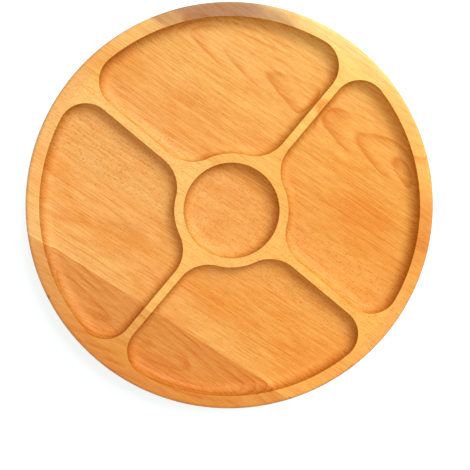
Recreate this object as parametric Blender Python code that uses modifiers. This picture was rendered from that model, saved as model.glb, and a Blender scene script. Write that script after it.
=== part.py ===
"""Lazy susan turntable: a carved beech tray that spins on a ring bearing let into a round base.

Metres, +Z up. The origin is on the spin axis at the level of the table, and the tray's four
pockets are centred on the X and Y axes.
"""

import math

import bmesh
import bpy

mm = 0.001

# Driving dimensions
touch_gap = 0.3 * mm  # air between pieces that touch, and round the balls
board_thickness = 19 * mm
tray_radius = 200 * mm
base_radius = 113 * mm
edge_round = 4.8 * mm
board_gap = 3 * mm  # between the tray and the base

rim_width = 14.2 * mm
rib_width = 8 * mm
cup_radius = 46.9 * mm
cup_ring_width = 8.9 * mm
hollow_depth = 11 * mm
cove_radius = 11 * mm  # round from a hollow's wall into its floor
rim_corner_radius = 27 * mm  # of a pocket's two corners by the rim, seen from above
cup_corner_radius = 35 * mm  # and of the two by the cup
pocket_count = 4

bearing_radius = 60 * mm
bearing_bore_radius = 38.5 * mm
bearing_height = 8.5 * mm
ring_height = 7.7 * mm
ring_chamfer = 0.5 * mm
ball_radius = 2.5 * mm
ball_pitch_radius = 49.2 * mm
ball_count = 24
race_gap = 2 * mm  # between the two rings
cage_thickness = 1.2 * mm
cage_height = 6.8 * mm

access_radius = 47 * mm
recess_clearance = 0.5 * mm

screw_head_radius = 3.5 * mm
screw_head_land = 0.2 * mm
screw_shank_radius = 1.75 * mm
screw_tip_radius = 0.4 * mm
screw_tip_length = 2 * mm
screw_sink = 0.1 * mm  # of a head below its ring's face
cross_width = 1 * mm
cross_depth = 1.2 * mm
base_screw_length = 16 * mm
base_screw_radius_out = 55.1 * mm  # from the spin axis
tray_screw_length = 13 * mm
tray_screw_radius_out = 43 * mm
screws_per_ring = 4

foot_radius = 10 * mm
foot_height = 2.5 * mm
foot_round = 0.6 * mm
foot_radius_out = 98 * mm
foot_count = 3

# How finely round shapes are divided
board_steps = 96
ring_steps = 72
cup_steps = 48
small_steps = 16
edge_arc_steps = 4
cove_arc_steps = 5
groove_arc_steps = 8
crease_angle = math.radians(32)
cut_past = 1 * mm  # how far a cutter runs out past the face that it opens

# Levels, worked out from the table up
base_bottom = foot_height + touch_gap
base_top = base_bottom + board_thickness
tray_bottom = base_top + board_gap
tray_top = tray_bottom + board_thickness
hollow_floor = tray_top - hollow_depth
bearing_top = tray_bottom - touch_gap
bearing_bottom = bearing_top - bearing_height
ledge = bearing_bottom - touch_gap
race_level = bearing_bottom + bearing_height / 2
groove_radius = ball_radius + touch_gap

wood = ("beech", (0.55, 0.27, 0.10), 0.48, 0.0)
metal = ("aluminium", (0.72, 0.73, 0.75), 0.35, 1.0)
steel = ("steel", (0.62, 0.62, 0.63), 0.25, 1.0)
nylon = ("nylon", (0.86, 0.85, 0.80), 0.45, 0.0)
pad = ("pad", (0.13, 0.085, 0.045), 0.85, 0.0)


def clear_scene():
    for obj in list(bpy.data.objects):
        bpy.data.objects.remove(obj, do_unlink=True)


def new_collection(name):
    made = bpy.data.collections.new(name)
    bpy.context.scene.collection.children.link(made)
    return made


def new_material(node_name, kind):
    """A material of its own for each sub-part, of one of the kinds listed above."""
    name, color, roughness, metallic = kind
    material = bpy.data.materials.new(f"{node_name}_{name}")
    material.use_nodes = True
    shader = material.node_tree.nodes["Principled BSDF"]
    shader.inputs["Base Color"].default_value = (*color, 1.0)
    shader.inputs["Roughness"].default_value = roughness
    shader.inputs["Metallic"].default_value = metallic
    material.diffuse_color = (*color, 1.0)
    return material


def new_object(name, mesh, collection, parent=None):
    obj = bpy.data.objects.new(name, mesh)
    collection.objects.link(obj)
    obj.parent = parent
    return obj


def hide_cutter(obj):
    obj.hide_render = True
    obj.display_type = "WIRE"


def arc(center, radius, start, end, steps):
    """Points round a centre, from one angle to another in degrees, both ends included."""
    turn = math.radians(end - start) / steps
    angles = [math.radians(start) + turn * step for step in range(steps + 1)]
    return [(center[0] + radius * math.cos(a), center[1] + radius * math.sin(a)) for a in angles]


def on_circle(radius, angle):
    return (radius * math.cos(math.radians(angle)), radius * math.sin(math.radians(angle)))


def turned(name, profile, steps, collection, parent=None, closed=False):
    """A turned object. The profile's (radius, height) points run down its outer side."""
    mesh = bpy.data.meshes.new(name)
    count = len(profile)
    edges = [(i, i + 1) for i in range(count - 1)]
    if closed:
        edges.append((count - 1, 0))
    mesh.from_pydata([(radius, 0, height) for radius, height in profile], edges, [])
    obj = new_object(name, mesh, collection, parent)
    screw = obj.modifiers.new("Turn", "SCREW")
    screw.axis = "Z"
    screw.steps = steps
    screw.render_steps = steps
    screw.use_merge_vertices = True
    screw.merge_threshold = 0.01 * mm
    return obj


def cut(obj, cutter):
    boolean = obj.modifiers.new(f"Cut {cutter.name}", "BOOLEAN")
    boolean.operation = "DIFFERENCE"
    boolean.solver = "EXACT"
    boolean.object = cutter


def bake(obj, kind=None):
    """Turns the modifiers into plain mesh, shades it smooth between creases and paints it."""
    bpy.context.view_layer.update()
    graph = bpy.context.evaluated_depsgraph_get()
    mesh = bpy.data.meshes.new_from_object(obj.evaluated_get(graph))
    mesh.name = obj.name
    obj.modifiers.clear()
    obj.data = mesh
    mesh.shade_smooth()
    mesh.set_sharp_from_angle(angle=crease_angle)
    if kind:
        mesh.materials.clear()
        mesh.materials.append(new_material(obj.name, kind))


def around(count, radius, first=0.0):
    """(angle, x, y) of places spaced evenly on a circle, the first at an angle in degrees."""
    for index in range(count):
        angle = math.radians(first) + index * math.tau / count
        yield angle, radius * math.cos(angle), radius * math.sin(angle)


def board_edge(radius, bottom, top):
    """The rounded edge of a board, from its top face to its bottom face."""
    inner = radius - edge_round
    upper = arc((inner, top - edge_round), edge_round, 90, 0, edge_arc_steps)
    lower = arc((inner, bottom + edge_round), edge_round, 0, -90, edge_arc_steps)
    return upper + lower


def pocket_outline():
    """One pocket from above, about +X: two arcs and two straight sides with rounded corners."""
    outer = tray_radius - rim_width
    inner = cup_radius + cup_ring_width
    half_rib = rib_width / 2
    side = 180 / pocket_count
    # A corner's centre lies one corner radius inside both of the lines that it joins.
    far = outer - rim_corner_radius
    near = inner + cup_corner_radius
    far_angle = side - math.degrees(math.asin((half_rib + rim_corner_radius) / far))
    near_angle = side - math.degrees(math.asin((half_rib + cup_corner_radius) / near))
    far_center = on_circle(far, far_angle)
    near_center = on_circle(near, near_angle)
    far_corner = arc(far_center, rim_corner_radius, far_angle, side + 90, 7)
    near_corner = arc(near_center, cup_corner_radius, side + 90, near_angle + 180, 7)
    upper = far_corner + near_corner
    lower = [(x, -y) for x, y in reversed(upper)]
    outer_arc = arc((0, 0), outer, -far_angle, far_angle, 20)[1:-1]
    inner_arc = arc((0, 0), inner, near_angle, -near_angle, 10)[1:-1]
    return upper + inner_arc + lower + outer_arc


def pocket_cutter(name, angle, collection):
    """A prism on the pocket's outline, with its lower edge rounded by the cove."""
    bm = bmesh.new()
    corners = [bm.verts.new((x, y, hollow_floor)) for x, y in pocket_outline()]
    floor = bmesh.ops.contextual_create(bm, geom=corners)["faces"]
    raised = bmesh.ops.extrude_face_region(bm, geom=floor, use_keep_orig=True)["geom"]
    moved = [item for item in raised if isinstance(item, bmesh.types.BMVert)]
    bmesh.ops.translate(bm, verts=moved, vec=(0, 0, hollow_depth + cut_past))
    bmesh.ops.recalc_face_normals(bm, faces=bm.faces)
    half_way = hollow_floor + hollow_depth / 2
    rim = [edge for edge in bm.edges if all(vert.co.z < half_way for vert in edge.verts)]
    bmesh.ops.bevel(
        bm,
        geom=rim,
        offset=cove_radius,
        offset_type="OFFSET",
        segments=cove_arc_steps,
        profile=0.5,
        affect="EDGES",
        clamp_overlap=False,
        material=-1,
    )
    mesh = bpy.data.meshes.new(name)
    bm.to_mesh(mesh)
    bm.free()
    obj = new_object(name, mesh, collection)
    obj.rotation_euler.z = angle
    hide_cutter(obj)
    return obj


def cup_cutter(collection):
    cove_center = (cup_radius - cove_radius, hollow_floor + cove_radius)
    cove = arc(cove_center, cove_radius, 0, -90, cove_arc_steps + 1)
    above = tray_top + cut_past
    profile = [(0, above), (cup_radius, above)] + cove + [(0, hollow_floor)]
    obj = turned("cup_cutter", profile, cup_steps, collection)
    hide_cutter(obj)
    return obj


def screw_profile(length, gap=0.0):
    """A countersunk screw, head up at height 0. With a gap it is the clearance cut for one."""
    head = screw_head_radius + gap
    shank = screw_shank_radius + gap
    # Moving a 45 degree cone out squarely by the gap also moves its ends along by this much.
    slide = gap * math.tan(math.radians(22.5))
    land = -screw_head_land - slide
    neck = land - (screw_head_radius - screw_shank_radius)
    if gap:
        return [
            (0, cut_past),
            (head, cut_past),
            (head, land),
            (shank, neck),
            (shank, -length - gap),
            (0, -length - gap),
        ]
    return [
        (0, 0),
        (head, 0),
        (head, land),
        (shank, neck),
        (shank, -length + screw_tip_length),
        (screw_tip_radius, -length),
        (0, -length),
    ]


def cross_cutter(name, place, turn, collection):
    """One bar of the cross recess in a screw's head."""
    bm = bmesh.new()
    bmesh.ops.create_cube(bm, size=1)
    reach = screw_head_radius * 1.15
    height = 2 * cross_depth
    bmesh.ops.scale(bm, verts=bm.verts, vec=(reach, cross_width, height))
    mesh = bpy.data.meshes.new(name)
    bm.to_mesh(mesh)
    bm.free()
    obj = new_object(name, mesh, collection)
    obj.location = place
    obj.rotation_euler.z = turn
    hide_cutter(obj)
    return obj


def screw_set(prefix, length, radius_out, first, head_level, flip, parts, cutters, parent):
    """Four screws and, for each, the clearance that it needs. Returns the clearance cutters."""
    clearances = []
    for index, (angle, x, y) in enumerate(around(screws_per_ring, radius_out, first), 1):
        name = f"{prefix}_{index}"
        spin = (math.pi if flip else 0.0, 0.0, angle)
        clearance = turned(f"{name}_clearance", screw_profile(length, touch_gap), small_steps, cutters)
        hide_cutter(clearance)
        screw = turned(name, screw_profile(length), small_steps, parts, parent)
        for obj in (clearance, screw):
            obj.location = (x, y, head_level)
            obj.rotation_euler = spin
        for bar in range(2):
            turn = angle + bar * math.pi / 2
            cut(screw, cross_cutter(f"{name}_cross_{bar + 1}", (x, y, head_level), turn, cutters))
        bake(screw, steel)
        clearances.append(clearance)
    return clearances


def ring_profile(inner, outer, bottom, groove_side):
    """A bearing ring's section: chamfered corners and a round ball groove in one wall."""
    top = bottom + ring_height
    c = ring_chamfer
    reach = math.degrees(math.acos((race_gap / 2) / groove_radius))
    center = (ball_pitch_radius, race_level)
    outer_side = [(outer - c, top), (outer, top - c), (outer, bottom + c), (outer - c, bottom)]
    inner_side = [(inner + c, bottom), (inner, bottom + c), (inner, top - c), (inner + c, top)]
    if groove_side == "outer":
        groove = arc(center, groove_radius, 180 - reach, 180 + reach, groove_arc_steps)
        outer_side = outer_side[:2] + groove + outer_side[2:]
    else:
        groove = arc(center, groove_radius, -reach, reach, groove_arc_steps)
        inner_side = inner_side[:2] + groove + inner_side[2:]
    return outer_side + inner_side


def serving_tray(parts, cutters, parent, screw_clearances):
    edge = board_edge(tray_radius, tray_bottom, tray_top)
    profile = [(0, tray_top)] + edge + [(0, tray_bottom)]
    tray = turned("serving_tray", profile, board_steps, parts, parent)
    for index, (angle, _, _) in enumerate(around(pocket_count, 1), 1):
        cut(tray, pocket_cutter(f"pocket_cutter_{index}", angle, cutters))
    cut(tray, cup_cutter(cutters))
    for clearance in screw_clearances:
        cut(tray, clearance)
    bake(tray, wood)


def base_board(parts, parent, screw_clearances):
    recess = bearing_radius + recess_clearance
    edge = board_edge(base_radius, base_bottom, base_top)
    bore = [(access_radius, base_bottom), (access_radius, ledge)]
    step = [(recess, ledge), (recess, base_top)]
    base = turned("base_board", edge + bore + step, board_steps, parts, parent, closed=True)
    for clearance in screw_clearances:
        cut(base, clearance)
    bake(base, wood)


def bearing_ring(name, inner, outer, bottom, groove_side, parts, parent, screw_clearances):
    profile = ring_profile(inner, outer, bottom, groove_side)
    ring = turned(name, profile, ring_steps, parts, parent, closed=True)
    for clearance in screw_clearances:
        cut(ring, clearance)
    bake(ring, metal)


def ball_cage(parts, cutters, parent):
    """A nylon band between the rings, with a round window for each ball."""
    outer = ball_pitch_radius + cage_thickness / 2
    inner = ball_pitch_radius - cage_thickness / 2
    top = race_level + cage_height / 2
    bottom = race_level - cage_height / 2
    profile = [(outer, top), (outer, bottom), (inner, bottom), (inner, top)]
    cage = turned("ball_cage", profile, ring_steps, parts, parent, closed=True)
    window = groove_radius
    for index, (angle, x, y) in enumerate(around(ball_count, ball_pitch_radius), 1):
        reach = cage_thickness
        drill_profile = [(0, reach), (window, reach), (window, -reach), (0, -reach)]
        drill = turned(f"cage_drill_{index:02d}", drill_profile, small_steps, cutters)
        drill.location = (x, y, race_level)
        drill.rotation_euler = (0, math.pi / 2, angle)
        hide_cutter(drill)
        cut(cage, drill)
    bake(cage, nylon)


def balls(parts, parent):
    for index, (_, x, y) in enumerate(around(ball_count, ball_pitch_radius), 1):
        bm = bmesh.new()
        bmesh.ops.create_uvsphere(bm, u_segments=12, v_segments=6, radius=ball_radius)
        mesh = bpy.data.meshes.new(f"ball_{index:02d}")
        bm.to_mesh(mesh)
        bm.free()
        ball = new_object(mesh.name, mesh, parts, parent)
        ball.location = (x, y, race_level)
        bake(ball, steel)


def feet(parts, parent):
    edge_in = foot_radius - foot_round
    upper = arc((edge_in, foot_height - foot_round), foot_round, 90, 0, 2)
    lower = arc((edge_in, foot_round), foot_round, 0, -90, 2)
    profile = [(0, foot_height)] + upper + lower + [(0, 0)]
    for index, (_, x, y) in enumerate(around(foot_count, foot_radius_out, 90), 1):
        foot = turned(f"foot_{index}", profile, 2 * small_steps, parts, parent)
        foot.location = (x, y, 0)
        bake(foot, pad)


def main():
    clear_scene()
    parts = new_collection("lazy_susan")
    cutters = new_collection("cutters")
    base_pivot = new_object("base_pivot", None, parts)
    ball_pivot = new_object("ball_set_pivot", None, parts)
    tray_pivot = new_object("tray_pivot", None, parts)

    wall_out = ball_pitch_radius + race_gap / 2
    wall_in = ball_pitch_radius - race_gap / 2
    inner_bottom = bearing_top - ring_height
    base_screws = screw_set(
        "base_screw",
        base_screw_length,
        base_screw_radius_out,
        45,
        bearing_bottom + ring_height - screw_sink,
        False,
        parts,
        cutters,
        base_pivot,
    )
    tray_screws = screw_set(
        "tray_screw",
        tray_screw_length,
        tray_screw_radius_out,
        0,
        inner_bottom + screw_sink,
        True,
        parts,
        cutters,
        tray_pivot,
    )
    base_board(parts, base_pivot, base_screws)
    outer_ring = ("bearing_outer_ring", wall_out, bearing_radius, bearing_bottom, "inner")
    bearing_ring(*outer_ring, parts, base_pivot, base_screws)
    feet(parts, base_pivot)
    ball_cage(parts, cutters, ball_pivot)
    balls(parts, ball_pivot)
    inner_ring = ("bearing_inner_ring", bearing_bore_radius, wall_in, inner_bottom, "outer")
    bearing_ring(*inner_ring, parts, tray_pivot, tray_screws)
    serving_tray(parts, cutters, tray_pivot, tray_screws)


main()
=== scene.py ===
import math

import bmesh
import bpy
from mathutils import Matrix, Vector


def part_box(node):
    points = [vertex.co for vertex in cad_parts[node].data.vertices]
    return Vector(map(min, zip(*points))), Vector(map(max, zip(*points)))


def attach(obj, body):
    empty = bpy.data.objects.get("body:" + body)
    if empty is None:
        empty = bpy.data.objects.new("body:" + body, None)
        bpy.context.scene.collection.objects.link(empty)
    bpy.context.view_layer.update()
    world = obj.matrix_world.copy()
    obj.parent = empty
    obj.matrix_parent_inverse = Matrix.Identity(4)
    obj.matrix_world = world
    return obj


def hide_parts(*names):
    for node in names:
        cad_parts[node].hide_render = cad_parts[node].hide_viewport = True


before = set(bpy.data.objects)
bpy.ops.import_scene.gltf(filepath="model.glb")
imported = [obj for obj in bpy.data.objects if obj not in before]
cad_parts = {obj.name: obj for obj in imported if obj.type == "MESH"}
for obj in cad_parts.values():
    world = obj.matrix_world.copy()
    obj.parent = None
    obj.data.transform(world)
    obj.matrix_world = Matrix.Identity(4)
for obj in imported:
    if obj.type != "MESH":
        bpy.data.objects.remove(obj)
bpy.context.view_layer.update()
mm = 0.001
print("frame loaded:", len(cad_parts), "nodes")


# Meshes

def arc(center, radius, start, end, steps):
    angles = [math.radians(start + (end - start) * step / steps) for step in range(steps + 1)]
    return [(center[0] + radius * math.cos(a), center[1] + radius * math.sin(a)) for a in angles]


def onCircle(radius, degrees):
    return radius * math.cos(math.radians(degrees)), radius * math.sin(math.radians(degrees))


def spinProfile(profile, steps, closed=False):
    # profile points are (radius, height), turned about Z
    bm = bmesh.new()
    verts = [bm.verts.new((radius, 0, height)) for radius, height in profile]
    edges = [bm.edges.new(pair) for pair in zip(verts, verts[1:])]
    if closed:
        edges.append(bm.edges.new((verts[-1], verts[0])))
    bmesh.ops.spin(
        bm,
        geom=verts + edges,
        cent=(0, 0, 0),
        axis=(0, 0, 1),
        angle=math.tau,
        steps=steps,
        use_merge=True,
    )
    bmesh.ops.remove_doubles(bm, verts=bm.verts, dist=0.001 * mm)
    bmesh.ops.recalc_face_normals(bm, faces=bm.faces)
    return bm


def placed(bm, place, turn=None):
    if turn is not None:
        bmesh.ops.rotate(bm, verts=bm.verts, cent=(0, 0, 0), matrix=turn)
    bmesh.ops.translate(bm, verts=bm.verts, vec=place)
    return bm


def smoothShade(mesh, crease):
    mesh.shade_smooth()
    mesh.set_sharp_from_angle(angle=math.radians(crease))


def toObject(name, bm, crease=30):
    mesh = bpy.data.meshes.new(name)
    bm.to_mesh(mesh)
    bm.free()
    smoothShade(mesh, crease)
    made = bpy.data.objects.new(name, mesh)
    bpy.context.scene.collection.objects.link(made)
    return made


def bakeModifiers(piece, crease=30):
    bpy.context.view_layer.update()
    graph = bpy.context.evaluated_depsgraph_get()
    mesh = bpy.data.meshes.new_from_object(piece.evaluated_get(graph))
    mesh.name = piece.name
    piece.modifiers.clear()
    piece.data = mesh
    smoothShade(mesh, crease)


def carve(piece, cutters, crease=30):
    for cutter in cutters:
        boolean = piece.modifiers.new("Carve", "BOOLEAN")
        boolean.operation = "DIFFERENCE"
        boolean.solver = "EXACT"
        boolean.object = cutter
    bakeModifiers(piece, crease)
    for cutter in cutters:
        bpy.data.objects.remove(cutter)


def softenEdges(piece, width, segments=3, angle=45):
    bevel = piece.modifiers.new("Soft edges", "BEVEL")
    bevel.width = width
    bevel.segments = segments
    bevel.limit_method = "ANGLE"
    bevel.angle_limit = math.radians(angle)
    bevel.harden_normals = True


def boardEdge(radius, bottom, top, edgeRound, steps):
    inner = radius - edgeRound
    upper = arc((inner, top - edgeRound), edgeRound, 90, 0, steps)
    lower = arc((inner, bottom + edgeRound), edgeRound, 0, -90, steps)
    return upper + lower


def middle(node):
    low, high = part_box(node)
    return (low + high) / 2


# Node trees

def put(tree, kind, inputs=None, **settings):
    made = tree.nodes.new(kind)
    for name, value in settings.items():
        setattr(made, name, value)
    for key, value in (inputs or {}).items():
        if isinstance(value, bpy.types.NodeSocket):
            tree.links.new(value, made.inputs[key])
        else:
            made.inputs[key].default_value = value
    return made


def maths(tree, operation, *values):
    return put(tree, "ShaderNodeMath", dict(enumerate(values)), operation=operation).outputs[0]


def rescale(tree, value, fromLow, fromHigh, toLow=0.0, toHigh=1.0, smooth=False):
    inputs = {0: value, 1: fromLow, 2: fromHigh, 3: toLow, 4: toHigh}
    kind = "SMOOTHSTEP" if smooth else "LINEAR"
    return put(tree, "ShaderNodeMapRange", inputs, interpolation_type=kind).outputs[0]


def ramp(tree, factor, stops):
    made = put(tree, "ShaderNodeValToRGB", {"Fac": factor})
    elements = made.color_ramp.elements
    while len(elements) < len(stops):
        elements.new(1.0)
    for element, (place, color) in zip(elements, stops):
        element.position = place
        element.color = (*color, 1.0)
    return made.outputs[0]


def greyRamp(tree, factor, stops):
    return ramp(tree, factor, [(place, (value,) * 3) for place, value in stops])


def blend(tree, factor, a, b, kind="MIX"):
    inputs = {0: factor, 6: a, 7: b}
    made = put(tree, "ShaderNodeMix", inputs, data_type="RGBA", blend_type=kind)
    return made.outputs[2]


def tinted(tree, factor, color, tint):
    return blend(tree, factor, color, (*tint, 1.0), "MULTIPLY")


def blendValue(tree, factor, a, b):
    return put(tree, "ShaderNodeMix", {0: factor, 2: a, 3: b}, data_type="FLOAT").outputs[0]


def blendVector(tree, factor, a, b):
    return put(tree, "ShaderNodeMix", {0: factor, 4: a, 5: b}, data_type="VECTOR").outputs[1]


def split(tree, vector):
    return put(tree, "ShaderNodeSeparateXYZ", {0: vector}).outputs


def joined(tree, x, y, z):
    return put(tree, "ShaderNodeCombineXYZ", {0: x, 1: y, 2: z}).outputs[0]


def stretched(tree, parts, scale):
    # the same three coordinates, each with its own fineness per metre
    return joined(tree, *[maths(tree, "MULTIPLY", part, by) for part, by in zip(parts, scale)])


def evenly(tree, parts, fineness):
    return stretched(tree, parts, (fineness,) * 3)


def lengthOf(tree, vector):
    return put(tree, "ShaderNodeVectorMath", {0: vector}, operation="LENGTH").outputs[1]


def objectParts(tree):
    return split(tree, put(tree, "ShaderNodeTexCoord").outputs["Object"])


def turnedBy(tree, vector, degrees):
    inputs = {"Vector": vector, "Angle": -math.radians(degrees)}
    return put(tree, "ShaderNodeVectorRotate", inputs, rotation_type="Z_AXIS").outputs[0]


def noise(tree, vector, detail=2.0, roughness=0.5, distortion=0.0):
    inputs = {"Vector": vector, "Scale": 1.0, "Detail": detail, "Roughness": roughness}
    inputs["Distortion"] = distortion
    return put(tree, "ShaderNodeTexNoise", inputs).outputs[0]


def newMaterial(name):
    material = bpy.data.materials.new(name)
    material.use_nodes = True
    tree = material.node_tree
    return material, tree, tree.nodes["Principled BSDF"]


def finishSurface(tree, shader, color, roughness, relief, strength, distance):
    inputs = {"Strength": strength, "Distance": distance, "Height": relief}
    bump = put(tree, "ShaderNodeBump", inputs)
    tree.links.new(color, shader.inputs["Base Color"])
    tree.links.new(roughness, shader.inputs["Roughness"])
    tree.links.new(bump.outputs[0], shader.inputs["Normal"])


def dress(piece, material, slot, body, *nodes):
    piece.data.materials.clear()
    piece.data.materials.append(material)
    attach(piece, body)
    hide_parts(*nodes)


# Beech, glued up from staves that each have their own figure

jointTooth = {"depth": 1.3 * mm, "pitch": 5.2 * mm}

# cycles per metre along the grain, across it and down; a mark's are outwards, round the edge and up
fineness = {
    "ringWander": (6, 15, 15),
    "ringFade": (14, 45, 45),
    "streak": (9, 300, 90),
    "fibre": (55, 760, 150),
    "smudge": (13, 30, 24),
    "ray": (270, 900, 170),
    "patch": (18, 60, 40),
    "mark": (300, 420, 110),
}


def perStave(tree, jointed, staves, mix, make):
    # each stave takes over from the last at its edge
    value = make(staves[0])
    for stave in staves[1:]:
        beyond = maths(tree, "GREATER_THAN", jointed, stave["edge"])
        value = mix(tree, beyond, value, make(stave))
    return value


def staveTone(tree, across, staves, reach, stave):
    index = staves.index(stave)
    high = staves[index + 1]["edge"] if index + 1 < len(staves) else reach
    place = rescale(tree, across, stave["edge"], high)
    return ramp(tree, place, stave["tones"])


def toothedJoint(tree, across, depth):
    # the joints are milled with small teeth, which show wherever a wall cuts through one
    tooth = maths(tree, "PINGPONG", depth, jointTooth["pitch"] / 2)
    slope = 2 * jointTooth["depth"] / jointTooth["pitch"]
    return maths(tree, "MULTIPLY_ADD", tooth, slope, across)


def growthRings(tree, woodPlace, along, pith, rings, figureWidth):
    # rings round the pith line; the taper opens them into arches along the grain
    sideways = maths(tree, "SUBTRACT", woodPlace[1], pith[0])
    below = maths(tree, "SUBTRACT", woodPlace[2], pith[1])
    squares = maths(tree, "MULTIPLY_ADD", below, below, maths(tree, "MULTIPLY", sideways, sideways))
    fromPith = maths(tree, "SQRT", squares)
    cone = maths(tree, "SUBTRACT", fromPith, maths(tree, "MULTIPLY", along, pith[2]))
    wander = noise(tree, stretched(tree, woodPlace, fineness["ringWander"]), 1.5, 0.5)
    bent = maths(tree, "MULTIPLY_ADD", wander, rings[2], cone)
    phase = maths(tree, "FRACT", maths(tree, "DIVIDE", bent, rings[1]))
    ringLine = greyRamp(tree, phase, [(0.0, 0.0), (0.35, 0.08), (0.7, 0.5), (0.86, 1.0), (1.0, 0.0)])
    finePhase = maths(tree, "FRACT", maths(tree, "MULTIPLY", phase, 3.0))
    fineLine = greyRamp(tree, finePhase, [(0.0, 0.0), (0.6, 0.2), (0.88, 1.0), (1.0, 0.0)])

    # they fade in places, and towards the sides of the figure
    fade = noise(tree, stretched(tree, woodPlace, fineness["ringFade"]), 2.0)
    fade = rescale(tree, fade, 0.38, 0.62, 0.15, 1.0)
    offFigure = maths(tree, "DIVIDE", maths(tree, "ABSOLUTE", sideways), figureWidth)
    fade = maths(tree, "MULTIPLY", fade, rescale(tree, offFigure, 0.6, 1.4, 1.0, 0.25))
    return ringLine, fineLine, maths(tree, "MULTIPLY", rings[0], fade)


def darkRays(tree, woodPlace):
    # short flecks, some darker than others
    inputs = {"Vector": stretched(tree, woodPlace, fineness["ray"]), "Scale": 1.0}
    ray = put(tree, "ShaderNodeTexVoronoi", inputs)
    pick = put(tree, "ShaderNodeSeparateColor", {0: ray.outputs["Color"]}).outputs[0]
    shape = rescale(tree, ray.outputs["Distance"], 0.46, 0.16, smooth=True)
    return maths(tree, "MULTIPLY", shape, rescale(tree, pick, 0.05, 0.6))


def softPatch(tree, woodPlace, along, patch):
    # a cloudy patch of another colour, placed along and across the grain
    ragged = noise(tree, stretched(tree, woodPlace, fineness["patch"]), 4.0, 0.6)
    spread = joined(
        tree,
        maths(tree, "DIVIDE", maths(tree, "SUBTRACT", along, patch["along"]), patch["long"]),
        maths(tree, "DIVIDE", maths(tree, "SUBTRACT", woodPlace[1], patch["across"]), patch["wide"]),
        0.0,
    )
    far = maths(tree, "MULTIPLY_ADD", ragged, 0.9, lengthOf(tree, spread))
    return rescale(tree, far, 1.75, 0.75, 0.0, patch["strength"], smooth=True)


def edgeLightingMask(tree, normal, streak, shade):
    # painted light and shade round the edge; this is how far one such change reaches
    facing = split(tree, turnedBy(tree, normal, shade["angle"]))[0]
    facing = maths(tree, "MULTIPLY_ADD", streak, 0.16, facing)
    return rescale(tree, facing, shade["from"] + 0.08, shade["full"] + 0.08, smooth=True)


def heartMark(tree, objectPlace, radius, jointed, ringLine, mark):
    # a dark place in the edge of a board; X is now outwards, Y along the edge
    x, y, z = split(tree, turnedBy(tree, objectPlace, mark["angle"]))
    up = maths(tree, "SUBTRACT", z, mark["height"])
    side = maths(tree, "MULTIPLY_ADD", up, -mark["slant"], y)
    inward = maths(tree, "SUBTRACT", radius, x)
    ragged = noise(tree, stretched(tree, (x, side, z), fineness["mark"]), 4.0, 0.65)
    spread = joined(
        tree,
        maths(tree, "DIVIDE", inward, mark["reach"]),
        maths(tree, "DIVIDE", side, mark["width"]),
        maths(tree, "DIVIDE", up, mark["tall"]),
    )
    far = maths(tree, "MULTIPLY_ADD", ragged, 1.5, lengthOf(tree, spread))
    far = maths(tree, "MULTIPLY_ADD", ringLine, -0.35, far)
    dark = rescale(tree, far, 2.1, 1.1, 0.0, mark["strength"], smooth=True)
    after = maths(tree, "GREATER_THAN", jointed, mark["between"][0])
    before = maths(tree, "LESS_THAN", jointed, mark["between"][1])
    return maths(tree, "MULTIPLY", dark, maths(tree, "MULTIPLY", after, before))


def routedPart(tree, place, depth, reach):
    # how far a point is down in a hollow, and whether it is within the rim
    x, y, z = split(tree, place)
    inside = rescale(tree, lengthOf(tree, joined(tree, x, y, 0.0)), reach + 1 * mm, reach)
    sunk = rescale(tree, depth, -0.1 * mm, -1.2 * mm, smooth=True)
    return maths(tree, "MULTIPLY", sunk, inside), inside


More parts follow.
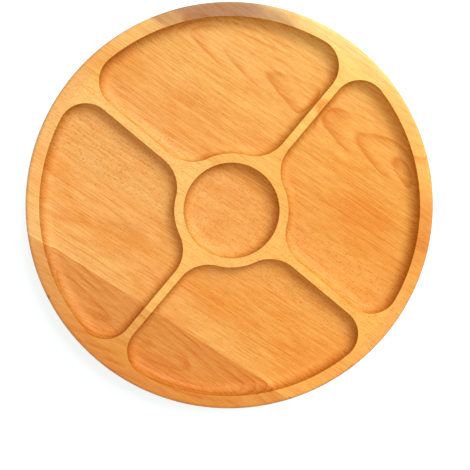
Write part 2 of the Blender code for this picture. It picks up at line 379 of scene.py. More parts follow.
def beech(name, wood, radius, top, hollows=None):
    material, tree, shader = newMaterial(name)
    staves = wood["staves"]
    texture = put(tree, "ShaderNodeTexCoord")
    place = texture.outputs["Object"]
    normal = texture.outputs["Normal"]
    along, across, height = split(tree, turnedBy(tree, place, wood["grainAngle"]))
    depth = maths(tree, "SUBTRACT", height, top)
    jointed = toothedJoint(tree, across, depth)

    def staveColor(stave):
        return staveTone(tree, across, staves, radius, stave)

    def staveTriple(key):
        return split(tree, perStave(tree, jointed, staves, blendVector, lambda stave: stave[key]))

    tones = perStave(tree, jointed, staves, blend, staveColor)
    pith = staveTriple("pith")
    rings = staveTriple("rings")
    amounts = staveTriple("amounts")
    figureWidth = perStave(tree, jointed, staves, blendValue, lambda stave: stave["figure"])

    # which way the surface faces, against the grain and against the vertical
    facing = split(tree, turnedBy(tree, normal, wood["grainAngle"]))
    endGrain = rescale(tree, maths(tree, "ABSOLUTE", facing[0]), 0.2, 0.95, smooth=True)
    # the lower rounding counts as edge almost to the underside, so the painted edge shade covers it against
    # the floor's glow
    upper = rescale(tree, facing[2], 0.75, 0.1, smooth=True)
    lower = rescale(tree, facing[2], -0.99, -0.85, smooth=True)
    edgeOn = maths(tree, "MULTIPLY", upper, lower)

    # every stave is its own timber, so its noise starts somewhere else
    own = maths(tree, "MULTIPLY_ADD", pith[0], 31.0, along)
    woodPlace = (own, across, depth)

    # growth rings, long streaks, fibres, soft smudges and short rays
    ringLine, fineLine, ringStrength = growthRings(tree, woodPlace, along, pith, rings, figureWidth)
    ringAmount = maths(tree, "MULTIPLY_ADD", edgeOn, wood["edgeRings"], ringStrength)
    ringPart = maths(tree, "MULTIPLY", ringLine, ringAmount)
    finePart = maths(tree, "MULTIPLY", fineLine, maths(tree, "MULTIPLY", edgeOn, wood["edgeFine"]))
    streak = noise(tree, stretched(tree, woodPlace, fineness["streak"]), 4.0, 0.65)
    streakPart = maths(tree, "MULTIPLY", rescale(tree, streak, 0.40, 0.66), amounts[0])
    fibre = noise(tree, stretched(tree, woodPlace, fineness["fibre"]), 3.0, 0.6)
    fibrePart = rescale(tree, fibre, 0.36, 0.68)
    smudge = noise(tree, stretched(tree, woodPlace, fineness["smudge"]), 4.0, 0.6, 0.5)
    smudgePart = maths(tree, "MULTIPLY", rescale(tree, smudge, 0.46, 0.70, smooth=True), amounts[1])
    rayPart = maths(tree, "MULTIPLY", darkRays(tree, woodPlace), amounts[2])

    pattern = maths(tree, "MULTIPLY_ADD", ringPart, wood["ringDark"], finePart)
    pattern = maths(tree, "MULTIPLY_ADD", streakPart, wood["streakDark"], pattern)
    pattern = maths(tree, "MULTIPLY_ADD", fibrePart, wood["fibreDark"], pattern)
    pattern = maths(tree, "MULTIPLY_ADD", rayPart, wood["rayDark"], pattern)

    # the sanded top shows its grain less than the routed hollows
    if hollows:
        routed, inside = routedPart(tree, place, depth, hollows["reach"])
        onRim = maths(tree, "SUBTRACT", 1.0, inside)
        shown = rescale(tree, maths(tree, "MAXIMUM", routed, edgeOn), 0.0, 1.0, wood["sanded"], 1.0)
        pattern = maths(tree, "MULTIPLY", pattern, shown)
    color = tinted(tree, pattern, tones, wood["patternTint"])
    color = tinted(tree, smudgePart, color, wood["smudgeTint"])

    # the colour drifts along the boards, and a few patches of the heart show; the first patch is instead a
    # painted grey reflection on the top rim
    drift = rescale(tree, along, -0.15, 0.15, smooth=True)
    color = tinted(tree, drift, color, wood["driftTint"])
    for patch in wood["patches"]:
        cloud = softPatch(tree, woodPlace, along, patch)
        if hollows and patch["sandedOnly"]:
            cloud = maths(tree, "MULTIPLY", cloud, maths(tree, "SUBTRACT", 1.0, routed))
        color = tinted(tree, cloud, color, patch["color"])

    # end grain, where a face cuts across the fibres
    color = tinted(tree, endGrain, color, wood["endGrainTint"])

    # routed faces are rougher than the sanded top, so they drink more oil
    roughness = rescale(tree, pattern, 0.0, 1.0, wood["gloss"], wood["gloss"] + wood["glossSpread"])
    outside = edgeOn
    if hollows:
        color = tinted(tree, routed, color, hollows["tint"])
        # painted bounce light and shade: the hollows' walls are tinted darker and more saturated
        color = tinted(tree, maths(tree, "MULTIPLY", edgeOn, routed), color, hollows["paintedWallLight"])
        color = tinted(tree, onRim, color, hollows["rimTint"])
        roughness = maths(tree, "MULTIPLY_ADD", routed, hollows["rougher"], roughness)
        outside = maths(tree, "MULTIPLY", edgeOn, onRim)

    # the outer edge, darker than the faces: painted shade on the board's side
    color = tinted(tree, outside, color, wood["paintedEdgeShade"])
    # painted light and shade round the edge
    for shade in wood["paintedEdgeLighting"]:
        amount = maths(tree, "MULTIPLY", edgeLightingMask(tree, normal, streak, shade), outside)
        color = tinted(tree, amount, color, shade["color"])
    for mark in wood["marks"]:
        dark = heartMark(tree, place, radius, jointed, ringLine, mark)
        color = tinted(tree, dark, color, mark["color"])

    relief = maths(tree, "MULTIPLY_ADD", fibrePart, -0.35, maths(tree, "MULTIPLY", rayPart, -0.6))
    relief = maths(tree, "MULTIPLY_ADD", streakPart, -0.3, relief)
    finishSurface(tree, shader, color, roughness, relief, wood["grainRelief"], wood["reliefDepth"])
    shader.inputs["IOR"].default_value = wood["refraction"]
    shader.inputs["Specular IOR Level"].default_value = wood["specular"]
    return material


# Tray

tray = {
    "rimWidth": 14.2 * mm,
    "ribWidth": 8 * mm,
    "cupRadius": 46.9 * mm,
    "cupRingWidth": 8.9 * mm,
    "hollowDepth": 11 * mm,
    "rimCorner": 27 * mm,
    "cupCorner": 35 * mm,
    "edgeRound": 4.8 * mm,
    "lipRound": 1.1 * mm,
    "pockets": 4,
    "steps": 256,
    "edgeSteps": 10,
    "coveSteps": 10,
    "cornerSteps": 20,
    "outerSteps": 44,
    "innerSteps": 24,
    "cupSteps": 128,
    "cutterRise": 1 * mm,
    "hollows": {
        "tint": (0.94, 0.81, 0.76),
        # painted bounce light and shade on the walls of the hollows
        "paintedWallLight": (0.86, 0.93, 0.74),
        "rimTint": (0.98, 0.91, 0.98),
        "rougher": 0.06,
    },
    "wood": {
        "grainAngle": -38.4,
        "ringDark": 0.9,
        "edgeRings": 0.3,
        "edgeFine": 0.5,
        "sanded": 0.8,
        "streakDark": 0.42,
        "fibreDark": 0.56,
        "rayDark": 0.74,
        "patternTint": (0.77, 0.50, 0.25),
        "smudgeTint": (0.96, 0.83, 0.64),
        "driftTint": (1.0, 0.88, 0.62),
        "endGrainTint": (0.80, 0.66, 0.50),
        # painted shade: the side of the board is darkened all round
        "paintedEdgeShade": (0.44, 0.40, 0.27),
        # angle round the board; reach as the cosine of the angle away from it
        "paintedEdgeLighting": [
            # painted shade on the front of the edge, then painted light on its left
            {"angle": -80.0, "from": 0.58, "full": 0.93, "color": (0.44, 0.28, 0.08)},
            {"angle": -146.0, "from": 0.60, "full": 0.95, "color": (1.50, 1.85, 1.60)},
        ],
        "gloss": 0.40,
        "glossSpread": 0.14,
        "specular": 0.22,
        "refraction": 1.46,
        "grainRelief": 0.35,
        "reliefDepth": 0.2 * mm,
        # edge: where a stave starts, across the grain; pith: place across, height, taper
        # figure: half width; rings: darkness, spacing, wander; amounts: streaks, smudges, rays
        "staves": [
            {
                "edge": -0.2,
                "tones": [(0.0, (0.72, 0.35, 0.09)), (0.3, (0.74, 0.38, 0.10)), (0.6, (0.76, 0.44, 0.14))],
                "pith": (-0.158, -0.030, -0.10),
                "figure": 0.05,
                "rings": (0.75, 0.0055, 0.012),
                "amounts": (0.5, 0.5, 0.45),
            },
            {
                "edge": -0.127,
                "tones": [
                    (0.0, (0.93, 0.67, 0.27)),
                    (0.2, (0.92, 0.65, 0.25)),
                    (0.5, (0.91, 0.60, 0.21)),
                    (0.8, (0.91, 0.60, 0.21)),
                    (1.0, (0.91, 0.61, 0.22)),
                ],
                "pith": (-0.42, 0.12, 0.012),
                "figure": 1.0,
                "rings": (0.35, 0.0030, 0.008),
                "amounts": (0.7, 0.8, 0.55),
            },
            {
                "edge": -0.043,
                "tones": [(0.0, (0.88, 0.60, 0.22)), (1.0, (0.87, 0.57, 0.20))],
                "pith": (0.10, -0.32, 0.01),
                "figure": 1.0,
                "rings": (0.15, 0.0032, 0.008),
                "amounts": (0.3, 0.35, 1.0),
            },
            {
                "edge": 0.028,
                "tones": [(0.0, (0.86, 0.57, 0.19)), (0.5, (0.87, 0.57, 0.18)), (0.75, (0.89, 0.63, 0.21))],
                "pith": (0.52, -0.16, 0.015),
                "figure": 1.0,
                "rings": (0.35, 0.0026, 0.008),
                "amounts": (0.8, 0.85, 0.45),
            },
            {
                "edge": 0.112,
                # its last tone, lighter and yellower at the outer rim, is a painted highlight of the key
                # light's sheen
                "tones": [(0.0, (0.90, 0.62, 0.21)), (0.6, (0.91, 0.66, 0.23)), (0.9, (0.93, 0.80, 0.33))],
                "pith": (0.130, -0.036, 0.12),
                "figure": 0.028,
                "rings": (0.95, 0.0058, 0.009),
                "amounts": (0.5, 0.45, 0.4),
            },
        ],
        # clouds of another colour: centre and half sizes along and across the grain
        "patches": [
            # painted reflection: a dull grey sheen of the surroundings, darkening the top rim
            {
                "along": -0.118,
                "across": 0.152,
                "long": 0.092,
                "wide": 0.052,
                "strength": 1.0,
                "sandedOnly": True,
                "color": (0.48, 0.42, 0.62),
            },
            {
                "along": 0.160,
                "across": 0.085,
                "long": 0.050,
                "wide": 0.036,
                "strength": 1.0,
                "sandedOnly": True,
                "color": (0.86, 0.67, 0.58),
            },
            {
                "along": 0.116,
                "across": 0.072,
                "long": 0.038,
                "wide": 0.020,
                "strength": 0.8,
                "sandedOnly": False,
                "color": (0.95, 0.76, 0.52),
            },
            {
                "along": 0.030,
                "across": 0.132,
                "long": 0.024,
                "wide": 0.012,
                "strength": 0.6,
                "sandedOnly": False,
                "color": (0.92, 0.74, 0.55),
            },
            {
                "along": -0.078,
                "across": -0.075,
                "long": 0.022,
                "wide": 0.012,
                "strength": 0.6,
                "sandedOnly": False,
                "color": (0.90, 0.80, 0.72),
            },
            {
                "along": 0.040,
                "across": -0.085,
                "long": 0.040,
                "wide": 0.020,
                "strength": 0.5,
                "sandedOnly": False,
                "color": (0.96, 0.82, 0.62),
            },
        ],
        # dark places in the edge: angle round the board, joints it stays between, height,
        # half sizes, reach in from the edge, lean
        "marks": [
            {
                "angle": -160.2,
                "between": (-0.3, 0.3),
                "height": 33 * mm,
                "width": 3.2 * mm,
                "tall": 14 * mm,
                "reach": 4 * mm,
                "slant": 0.15,
                "strength": 0.95,
                "color": (0.42, 0.28, 0.20),
            },
            {
                "angle": -64.0,
                "between": (-0.127, -0.043),
                "height": 31 * mm,
                "width": 52 * mm,
                "tall": 12 * mm,
                "reach": 5 * mm,
                "slant": -0.6,
                "strength": 0.85,
                "color": (0.62, 0.44, 0.36),
            },
            {
                "angle": -75.6,
                "between": (-0.127, -0.043),
                "height": 31 * mm,
                "width": 6.5 * mm,
                "tall": 14 * mm,
                "reach": 4 * mm,
                "slant": -0.65,
                "strength": 1.0,
                "color": (0.30, 0.15, 0.11),
            },
            {
                "angle": -55.5,
                "between": (-0.127, -0.043),
                "height": 31 * mm,
                "width": 6 * mm,
                "tall": 14 * mm,
                "reach": 4 * mm,
                "slant": -0.75,
                "strength": 0.85,
                "color": (0.45, 0.27, 0.20),
            },
        ],
    },
}


def pocketOutline(reach):
    # one pocket about +X, seen from above
    outer = reach - tray["rimWidth"]
    inner = tray["cupRadius"] + tray["cupRingWidth"]
    halfRib = tray["ribWidth"] / 2
    side = 180 / tray["pockets"]
    far = outer - tray["rimCorner"]
    near = inner + tray["cupCorner"]
    farAngle = side - math.degrees(math.asin((halfRib + tray["rimCorner"]) / far))
    nearAngle = side - math.degrees(math.asin((halfRib + tray["cupCorner"]) / near))
    steps = tray["cornerSteps"]
    farCorner = arc(onCircle(far, farAngle), tray["rimCorner"], farAngle, side + 90, steps)
    nearCorner = arc(onCircle(near, nearAngle), tray["cupCorner"], side + 90, nearAngle + 180, steps)
    upper = farCorner + nearCorner
    lower = [(x, -y) for x, y in reversed(upper)]
    outerArc = arc((0, 0), outer, -farAngle, farAngle, tray["outerSteps"])[1:-1]
    innerArc = arc((0, 0), inner, nearAngle, -nearAngle, tray["innerSteps"])[1:-1]
    return upper + innerArc + lower + outerArc


def pocketCutter(reach, top, degrees):
    floor = top - tray["hollowDepth"]
    bm = bmesh.new()
    corners = [bm.verts.new((x, y, floor)) for x, y in pocketOutline(reach)]
    bottom = bmesh.ops.contextual_create(bm, geom=corners)["faces"]
    raised = bmesh.ops.extrude_face_region(bm, geom=bottom, use_keep_orig=True)["geom"]
    lifted = [item for item in raised if isinstance(item, bmesh.types.BMVert)]
    bmesh.ops.translate(bm, verts=lifted, vec=(0, 0, tray["hollowDepth"] + tray["cutterRise"]))
    bmesh.ops.recalc_face_normals(bm, faces=bm.faces)
    middleHeight = floor + tray["hollowDepth"] / 2
    edges = [edge for edge in bm.edges if all(vert.co.z < middleHeight for vert in edge.verts)]
    bmesh.ops.bevel(
        bm,
        geom=edges,
        offset=tray["hollowDepth"],
        offset_type="OFFSET",
        segments=tray["coveSteps"],
        profile=0.5,
        affect="EDGES",
        clamp_overlap=False,
        material=-1,
    )
    placed(bm, (0, 0, 0), Matrix.Rotation(math.radians(degrees), 3, "Z"))
    return toObject("pocketCutter", bm)


def cupCutter(top):
    radius = tray["cupRadius"]
    floor = top - tray["hollowDepth"]
    above = top + tray["cutterRise"]
    cove = arc((radius - tray["hollowDepth"], top), tray["hollowDepth"], 0, -90, tray["coveSteps"])
    profile = [(0, above), (radius, above)] + cove + [(0, floor)]
    return toObject("cupCutter", spinProfile(profile, tray["cupSteps"]))


def buildTray():
    low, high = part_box("serving_tray")
    edge = boardEdge(high.x, low.z, high.z, tray["edgeRound"], tray["edgeSteps"])
    bm = spinProfile([(0, high.z)] + edge + [(0, low.z)], tray["steps"])
    piece = toObject("carvedTray", bm)
    step = 360 / tray["pockets"]
    cutters = [pocketCutter(high.x, high.z, index * step) for index in range(tray["pockets"])]
    carve(piece, cutters + [cupCutter(high.z)] + screwHoles("tray_screw", True))
    softenEdges(piece, tray["lipRound"], 4)
    hollows = {**tray["hollows"], "reach": high.x - tray["rimWidth"]}
    wood = beech("oiled beech, tray", tray["wood"], high.x, high.z, hollows)
    dress(piece, wood, "tray_wood", "tray", "serving_tray")
    print("tray carved:", len(piece.data.polygons), "faces")


# Base

base = {
    "edgeRound": 4.8 * mm,
    "accessRadius": 47 * mm,
    "recessClearance": 0.5 * mm,
    "ledgeGap": 0.3 * mm,
    "arris": 0.5 * mm,
    "steps": 192,
    "edgeSteps": 10,
    "wood": {
        **tray["wood"],
        "grainAngle": -96.7,
        "endGrainTint": (0.86, 0.74, 0.60),
        # painted shade on the base's side, against the light the glowing floor throws up
        "paintedEdgeShade": (0.82, 0.72, 0.46),
        "paintedEdgeLighting": [],
        "driftTint": (1.0, 0.97, 0.90),
        "patches": [],
        "staves": [
            {
                "edge": -0.113,
                "tones": [(0.0, (0.84, 0.42, 0.15)), (1.0, (0.86, 0.47, 0.19))],
                "pith": (-0.30, 0.10, 0.02),
                "figure": 1.0,
                "rings": (0.15, 0.0035, 0.010),
                "amounts": (0.4, 0.4, 0.3),
            },
            {
                "edge": -0.069,
                "tones": [(0.0, (0.58, 0.30, 0.07)), (0.5, (0.66, 0.34, 0.06)), (1.0, (0.80, 0.50, 0.12))],
                "pith": (0.022, -0.062, 0.03),
                "figure": 1.0,
                "rings": (0.6, 0.0026, 0.010),
                "amounts": (0.5, 0.6, 0.3),
            },
            {
                "edge": 0.068,
                "tones": [(0.0, (0.86, 0.62, 0.22)), (1.0, (0.90, 0.72, 0.32))],
                "pith": (0.26, -0.10, 0.02),
                "figure": 1.0,
                "rings": (0.35, 0.0030, 0.010),
                "amounts": (0.45, 0.4, 0.3),
            },
        ],
        "marks": [
            {
                "angle": -128.7,
                "between": (-0.069, 0.068),
                "height": 14 * mm,
                "width": 13 * mm,
                "tall": 15 * mm,
                "reach": 9 * mm,
                "slant": 0.15,
                "strength": 1.0,
                "color": (0.26, 0.11, 0.07),
            },
        ],
    },
}


def buildBase():
    low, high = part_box("base_board")
    ringLow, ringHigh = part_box("bearing_outer_ring")
    ledge = ringLow.z - base["ledgeGap"]
    recess = ringHigh.x + base["recessClearance"]
    edge = boardEdge(high.x, low.z, high.z, base["edgeRound"], base["edgeSteps"])
    bore = [(base["accessRadius"], low.z), (base["accessRadius"], ledge)]
    step = [(recess, ledge), (recess, high.z)]
    piece = toObject("turnedBase", spinProfile(edge + bore + step, base["steps"], closed=True))
    carve(piece, screwHoles("base_screw", False))
    softenEdges(piece, base["arris"], 3)
    wood = beech("oiled beech, base", base["wood"], high.x, high.z)
    dress(piece, wood, "base_wood", "base", "base_board")
    print("base turned:", len(piece.data.polygons), "faces")


# Screws

screws = {
    "headRadius": 3.5 * mm,
    "headLand": 0.2 * mm,
    "shankRadius": 1.75 * mm,
    "tipRadius": 0.4 * mm,
    "tipLength": 2 * mm,
    "threadPitch": 1.2 * mm,
    "threadDepth": 0.25 * mm,
    "crossWidth": 1 * mm,
    "crossLength": 4.025 * mm,
    "crossDepth": 1.2 * mm,
    "crossRound": 0.3 * mm,
    "gap": 0.3 * mm,
    "cutterRise": 1 * mm,
    "perRing": 4,
    "steps": 32,
}


def screwTurn(flip, angle):
    turn = Matrix.Rotation(angle, 3, "Z")
    if flip:
        turn = turn @ Matrix.Rotation(math.pi, 3, "X")
    return turn


def screwProfile(length):
    head = screws["headRadius"]
    shank = screws["shankRadius"]
    core = shank - screws["threadDepth"]
    neck = -screws["headLand"] - (head - shank)
    points = [(0, 0), (head, 0), (head, -screws["headLand"]), (shank, neck)]
    pitch = screws["threadPitch"]
    level = neck - pitch
    while level > -length + screws["tipLength"] + pitch:
        points += [(shank, level), (core, level - pitch / 4), (core, level - pitch * 0.6)]
        level -= pitch
    points += [(shank, -length + screws["tipLength"]), (screws["tipRadius"], -length), (0, -length)]
    return points


def screwClearance(node, flip):
    low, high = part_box(node)
    center = middle(node)
    gap = screws["gap"]
    head = screws["headRadius"] + gap
    shank = screws["shankRadius"] + gap
    # the 45 degree cone of the head stays the same gap away all along
    slide = gap * math.tan(math.radians(45 / 2))
    land = -screws["headLand"] - slide
    neck = land - (head - shank)
    bottom = -(high.z - low.z) - gap
    above = screws["cutterRise"]
    profile = [(0, above), (head, above), (head, land), (shank, neck), (shank, bottom), (0, bottom)]
    level = low.z if flip else high.z
    bm = placed(
        spinProfile(profile, screws["steps"]),
        (center.x, center.y, level),
        screwTurn(flip, math.atan2(center.y, center.x)),
    )
    return toObject("screwClearance", bm)


def screwHoles(kind, flip):
    return [screwClearance(f"{kind}_{index + 1}", flip) for index in range(screws["perRing"])]


def crossBar(center, level, flip, angle):
    # one bar of the cross slot, with its inner end rounded
    bar = bmesh.new()
    bmesh.ops.create_cube(bar, size=1)
    size = (screws["crossLength"], screws["crossWidth"], 2 * screws["crossDepth"])
    bmesh.ops.scale(bar, verts=bar.verts, vec=size)
    inward = [edge for edge in bar.edges if all(vert.co.z < 0 for vert in edge.verts)]
    bmesh.ops.bevel(
        bar,
        geom=inward,
        offset=screws["crossRound"],
        segments=2,
        profile=0.5,
        affect="EDGES",
        material=-1,
    )
    if flip:
        over = Matrix.Rotation(math.pi, 3, "X")
        bmesh.ops.rotate(bar, verts=bar.verts, cent=(0, 0, 0), matrix=over)
    placed(bar, (center.x, center.y, level), Matrix.Rotation(angle, 3, "Z"))
    return toObject("crossBar", bar)


def buildScrew(node, body, flip, finish):
    low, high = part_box(node)
    center = middle(node)
    angle = math.atan2(center.y, center.x)
    level = low.z if flip else high.z
    bm = spinProfile(screwProfile(high.z - low.z), screws["steps"])
    placed(bm, (center.x, center.y, level), screwTurn(flip, angle))
    piece = toObject(f"{node}Turned", bm, 40)
    carve(piece, [crossBar(center, level, flip, turn) for turn in (angle, angle + math.pi / 2)], 40)
    dress(piece, finish, "screw_steel", body, node)


def buildScrews():
    finish = zincSteel()
    for index in range(screws["perRing"]):
        buildScrew(f"base_screw_{index + 1}", "base", False, finish)
        buildScrew(f"tray_screw_{index + 1}", "tray", True, finish)
    print("screws driven:", 2 * screws["perRing"])


# Ring bearing

bearing = {
    "boreRadius": 38.5 * mm,
    "pitchRadius": 49.2 * mm,
    "grooveRadius": 2.8 * mm,
    "raceGap": 2 * mm,
    "chamfer": 0.5 * mm,
    "grooveSteps": 16,
    "balls": 24,
    "steps": 180,
}

cage = {"thickness": 1.2 * mm, "windowRadius": 2.8 * mm, "windowSteps": 40}


def ringProfile(inner, outer, low, high, race, grooveOutside):
    c = bearing["chamfer"]
    steps = bearing["grooveSteps"]
    reach = math.degrees(math.acos((bearing["raceGap"] / 2) / bearing["grooveRadius"]))
    center = (bearing["pitchRadius"], race)
    outerSide = [(outer - c, high), (outer, high - c), (outer, low + c), (outer - c, low)]
    innerSide = [(inner + c, low), (inner, low + c), (inner, high - c), (inner + c, high)]
    if grooveOutside:
        groove = arc(center, bearing["grooveRadius"], 180 - reach, 180 + reach, steps)
        outerSide = outerSide[:2] + groove + outerSide[2:]
    else:
        groove = arc(center, bearing["grooveRadius"], -reach, reach, steps)
        innerSide = innerSide[:2] + groove + innerSide[2:]
    return outerSide + innerSide


def buildRing(node, body, isInner, finish):
    low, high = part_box(node)
    wall = bearing["raceGap"] / 2
    if isInner:
        inner, outer = bearing["boreRadius"], bearing["pitchRadius"] - wall
    else:
        inner, outer = bearing["pitchRadius"] + wall, high.x
    profile = ringProfile(inner, outer, low.z, high.z, middle("ball_01").z, isInner)
    piece = toObject(f"{node}Turned", spinProfile(profile, bearing["steps"], closed=True))
    carve(piece, screwHoles("tray_screw" if isInner else "base_screw", isInner))
    dress(piece, finish, "ring_metal", body, node)


def windowDrill(ball, race):
    # a short round bar pointing outwards through the cage at one ball
    center = middle(ball)
    reach = 2 * cage["thickness"]
    radius = cage["windowRadius"]
    drill = spinProfile([(0, reach), (radius, reach), (radius, -reach), (0, -reach)], cage["windowSteps"])
    outwards = Matrix.Rotation(math.atan2(center.y, center.x), 3, "Z")
    turn = outwards @ Matrix.Rotation(math.pi / 2, 3, "Y")
    return toObject("windowDrill", placed(drill, (center.x, center.y, race), turn))


def buildCage():
    low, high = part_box("ball_cage")
    race = middle("ball_01").z
    inner = bearing["pitchRadius"] - cage["thickness"] / 2
    outer = bearing["pitchRadius"] + cage["thickness"] / 2
    profile = [(outer, high.z), (outer, low.z), (inner, low.z), (inner, high.z)]
    piece = toObject("ballCageMoulded", spinProfile(profile, bearing["steps"], closed=True))
    carve(piece, [windowDrill(f"ball_{index + 1:02d}", race) for index in range(bearing["balls"])])
    dress(piece, nylon(), "cage_nylon", "ball_set", "ball_cage")


def buildBalls():
    finish = ballSteel()
    for index in range(bearing["balls"]):
        node = f"ball_{index + 1:02d}"
        low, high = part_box(node)
        bm = bmesh.new()
        bmesh.ops.create_icosphere(bm, subdivisions=4, radius=(high.z - low.z) / 2)
        bmesh.ops.translate(bm, verts=bm.verts, vec=middle(node))
        dress(toObject(f"{node}Ground", bm, 60), finish, "ball_steel", "ball_set", node)


def buildBearing():
    metal = turnedAluminium()
    buildRing("bearing_outer_ring", "base", False, metal)
    buildRing("bearing_inner_ring", "tray", True, metal)
    buildCage()
    buildBalls()
    print("bearing assembled")


# Feet

feet = {
    "round": 0.8 * mm,
    "dish": 0.25 * mm,
    "landWidth": 1.2 * mm,
    "dishSlope": 0.6 * mm,
    "roundSteps": 6,
    "steps": 96,
    "count": 3,
}


def buildFeet():
    finish = footPad()
    for index in range(feet["count"]):
        node = f"foot_{index + 1}"
        low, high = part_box(node)
        radius = (high.x - low.x) / 2
        inset = radius - feet["round"]
        edge = boardEdge(radius, low.z, high.z, feet["round"], feet["roundSteps"])
        land = inset - feet["landWidth"]
        hollow = low.z + feet["dish"]
        dish = [(land, low.z), (land - feet["dishSlope"], hollow), (0, hollow)]
        bm = spinProfile([(0, high.z)] + edge + dish, feet["steps"])
        center = middle(node)
        piece = toObject(f"{node}Pad", placed(bm, (center.x, center.y, 0)))
        dress(piece, finish, "foot_pad", "base", node)
    print("feet stuck on:", feet["count"])


# Finishes of the small parts

def turnedAluminium():
    material, tree, shader = newMaterial("turned aluminium")
    x, y, z = objectParts(tree)
    # fine lines left by the tool, round the axis
    out = lengthOf(tree, joined(tree, x, y, 0.0))
    lathe = noise(tree, stretched(tree, (out, z, 0.0), (5200, 5200, 0)))
    cloud = noise(tree, evenly(tree, (x, y, z), 70), 3.0)
    color = ramp(tree, cloud, [(0.3, (0.68, 0.69, 0.71)), (0.7, (0.82, 0.83, 0.85))])
    roughness = maths(tree, "MULTIPLY_ADD", lathe, 0.16, rescale(tree, cloud, 0.3, 0.7, 0.18, 0.30))
    shader.inputs["Metallic"].default_value = 1.0
    finishSurface(tree, shader, color, roughness, lathe, 0.25, 0.03 * mm)
    return material


def zincSteel():
    material, tree, shader = newMaterial("zinc plated steel")
    parts = objectParts(tree)
    cloud = noise(tree, evenly(tree, parts, 420), 4.0, 0.6)
    grain = noise(tree, evenly(tree, parts, 3200), 2.0)
    shades = [(0.3, (0.56, 0.58, 0.62)), (0.55, (0.68, 0.68, 0.67)), (0.75, (0.70, 0.67, 0.58))]
    color = ramp(tree, cloud, shades)
    roughness = rescale(tree, cloud, 0.3, 0.7, 0.22, 0.38)
    shader.inputs["Metallic"].default_value = 1.0
    finishSurface(tree, shader, color, roughness, grain, 0.2, 0.02 * mm)
    return material


def ballSteel():
    material, tree, shader = newMaterial("ground bearing steel")
    parts = objectParts(tree)
    cloud = noise(tree, evenly(tree, parts, 700), 3.0)
    color = ramp(tree, cloud, [(0.3, (0.60, 0.61, 0.63)), (0.7, (0.72, 0.72, 0.73))])
    roughness = rescale(tree, cloud, 0.3, 0.7, 0.05, 0.12)
    shader.inputs["Metallic"].default_value = 1.0
    finishSurface(tree, shader, color, roughness, cloud, 0.05, 0.01 * mm)
    return material


def nylon():
    material, tree, shader = newMaterial("natural nylon")
    parts = objectParts(tree)
    cloud = noise(tree, evenly(tree, parts, 160), 3.0)
    grain = noise(tree, evenly(tree, parts, 2400), 2.0)
    color = ramp(tree, cloud, [(0.3, (0.80, 0.79, 0.72)), (0.7, (0.88, 0.87, 0.82))])
    roughness = rescale(tree, grain, 0.3, 0.7, 0.40, 0.52)
    shader.inputs["Subsurface Weight"].default_value = 0.1
    shader.inputs["Subsurface Radius"].default_value = (0.002, 0.002, 0.0015)
    finishSurface(tree, shader, color, roughness, grain, 0.15, 0.02 * mm)
    return material


def footPad():
    material, tree, shader = newMaterial("brown felt pad")
    parts = objectParts(tree)
    matted = noise(tree, evenly(tree, parts, 900), 5.0, 0.7, 1.2)
    patches = noise(tree, evenly(tree, parts, 180), 3.0)
    color = ramp(tree, matted, [(0.3, (0.075, 0.040, 0.018)), (0.7, (0.20, 0.115, 0.055))])
    color = tinted(tree, rescale(tree, patches, 0.35, 0.65, 0.0, 0.5), color, (0.7, 0.62, 0.55))
    roughness = rescale(tree, matted, 0.3, 0.7, 0.82, 0.96)
    shader.inputs["Sheen Weight"].default_value = 0.08
    shader.inputs["Sheen Roughness"].default_value = 0.6
    finishSurface(tree, shader, color, roughness, matted, 0.5, 0.15 * mm)
    return material


# Studio

studio = {
    "floorSize": 6.0,
    "floorColor": (0.38, 0.53, 0.66, 1.0),
    "floorGlow": 0.68,
    "floorDrop": 0.1 * mm,
    "ambient": 0.62,
    "ambientColor": (1.0, 0.82, 0.64, 1.0),
    "backdrop": 1.0,
    "keyPower": 118,
    "keySize": 2.2,
    "keyDistance": 3.5,
    "keyAzimuth": 42,
    "keyElevation": 46,
    "cameraDistance": 0.574,
    "cameraTilt": 4.87,
    "cameraTowards": 107.9,
    "cameraUp": 85.0,
    "lens": 45.1,
    "shift": (0.0071, -0.0514),
}


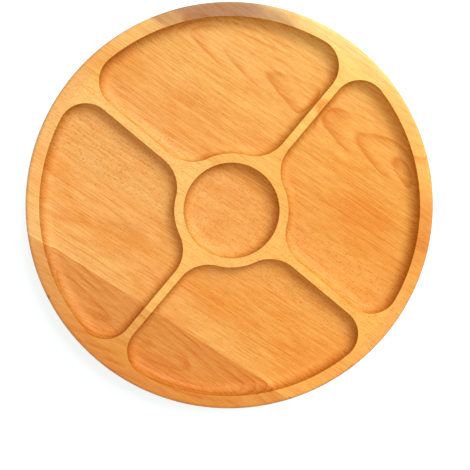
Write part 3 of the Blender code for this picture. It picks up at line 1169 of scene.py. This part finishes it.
def buildFloor():
    bm = bmesh.new()
    bmesh.ops.create_grid(bm, x_segments=4, y_segments=4, size=studio["floorSize"] / 2)
    bmesh.ops.translate(bm, verts=bm.verts, vec=(0, 0, -studio["floorDrop"]))
    floor = toObject("floor", bm)
    material, tree, shader = newMaterial("pale floor")
    shader.inputs["Base Color"].default_value = studio["floorColor"]
    shader.inputs["Roughness"].default_value = 0.9
    shader.inputs["Emission Color"].default_value = (1.0, 1.0, 1.0, 1.0)
    shader.inputs["Emission Strength"].default_value = studio["floorGlow"]
    # seen from below the floor is clear, so the feet and the bearing can be looked at
    below = put(tree, "ShaderNodeNewGeometry").outputs["Backfacing"]
    clear = put(tree, "ShaderNodeBsdfTransparent").outputs[0]
    mixed = put(tree, "ShaderNodeMixShader", {0: below, 1: shader.outputs[0], 2: clear})
    tree.links.new(mixed.outputs[0], tree.nodes["Material Output"].inputs["Surface"])
    floor.data.materials.append(material)


def buildLights():
    world = bpy.data.worlds.new("soft room")
    world.use_nodes = True
    tree = world.node_tree
    background = tree.nodes["Background"]
    seen = put(tree, "ShaderNodeLightPath").outputs["Is Camera Ray"]
    white = (1.0, 1.0, 1.0, 1.0)
    tree.links.new(blend(tree, seen, studio["ambientColor"], white), background.inputs["Color"])
    strength = rescale(tree, seen, 0.0, 1.0, studio["ambient"], studio["backdrop"])
    tree.links.new(strength, background.inputs["Strength"])
    bpy.context.scene.world = world
    light = bpy.data.lights.new("key", "AREA")
    light.energy = studio["keyPower"]
    light.size = studio["keySize"]
    key = bpy.data.objects.new("key", light)
    bpy.context.scene.collection.objects.link(key)
    azimuth = math.radians(studio["keyAzimuth"])
    elevation = math.radians(studio["keyElevation"])
    towards = Vector((
        math.cos(elevation) * math.cos(azimuth),
        math.cos(elevation) * math.sin(azimuth),
        math.sin(elevation),
    ))
    key.location = towards * studio["keyDistance"]
    key.rotation_euler = towards.to_track_quat("Z", "Y").to_euler()


def buildCamera():
    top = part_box("serving_tray")[1].z
    target = Vector((0, 0, top))
    tilt = math.radians(studio["cameraTilt"])
    sideX, sideY = onCircle(math.sin(tilt), studio["cameraTowards"])
    outward = Vector((sideX, sideY, math.cos(tilt)))
    upHint = Vector((*onCircle(1.0, studio["cameraUp"]), 0.0))
    right = upHint.cross(outward).normalized()
    up = outward.cross(right)
    data = bpy.data.cameras.new("camera")
    data.lens = studio["lens"]
    data.sensor_width = 36
    data.shift_x, data.shift_y = studio["shift"]
    camera = bpy.data.objects.new("camera", data)
    bpy.context.scene.collection.objects.link(camera)
    turn = Matrix((right, up, outward)).transposed().to_4x4()
    camera.matrix_world = Matrix.Translation(target + outward * studio["cameraDistance"]) @ turn
    bpy.context.scene.camera = camera
    bpy.context.scene.view_settings.view_transform = "Standard"


buildTray()
buildBase()
buildBearing()
buildScrews()
buildFeet()
buildFloor()
buildLights()
buildCamera()
print("studio ready")
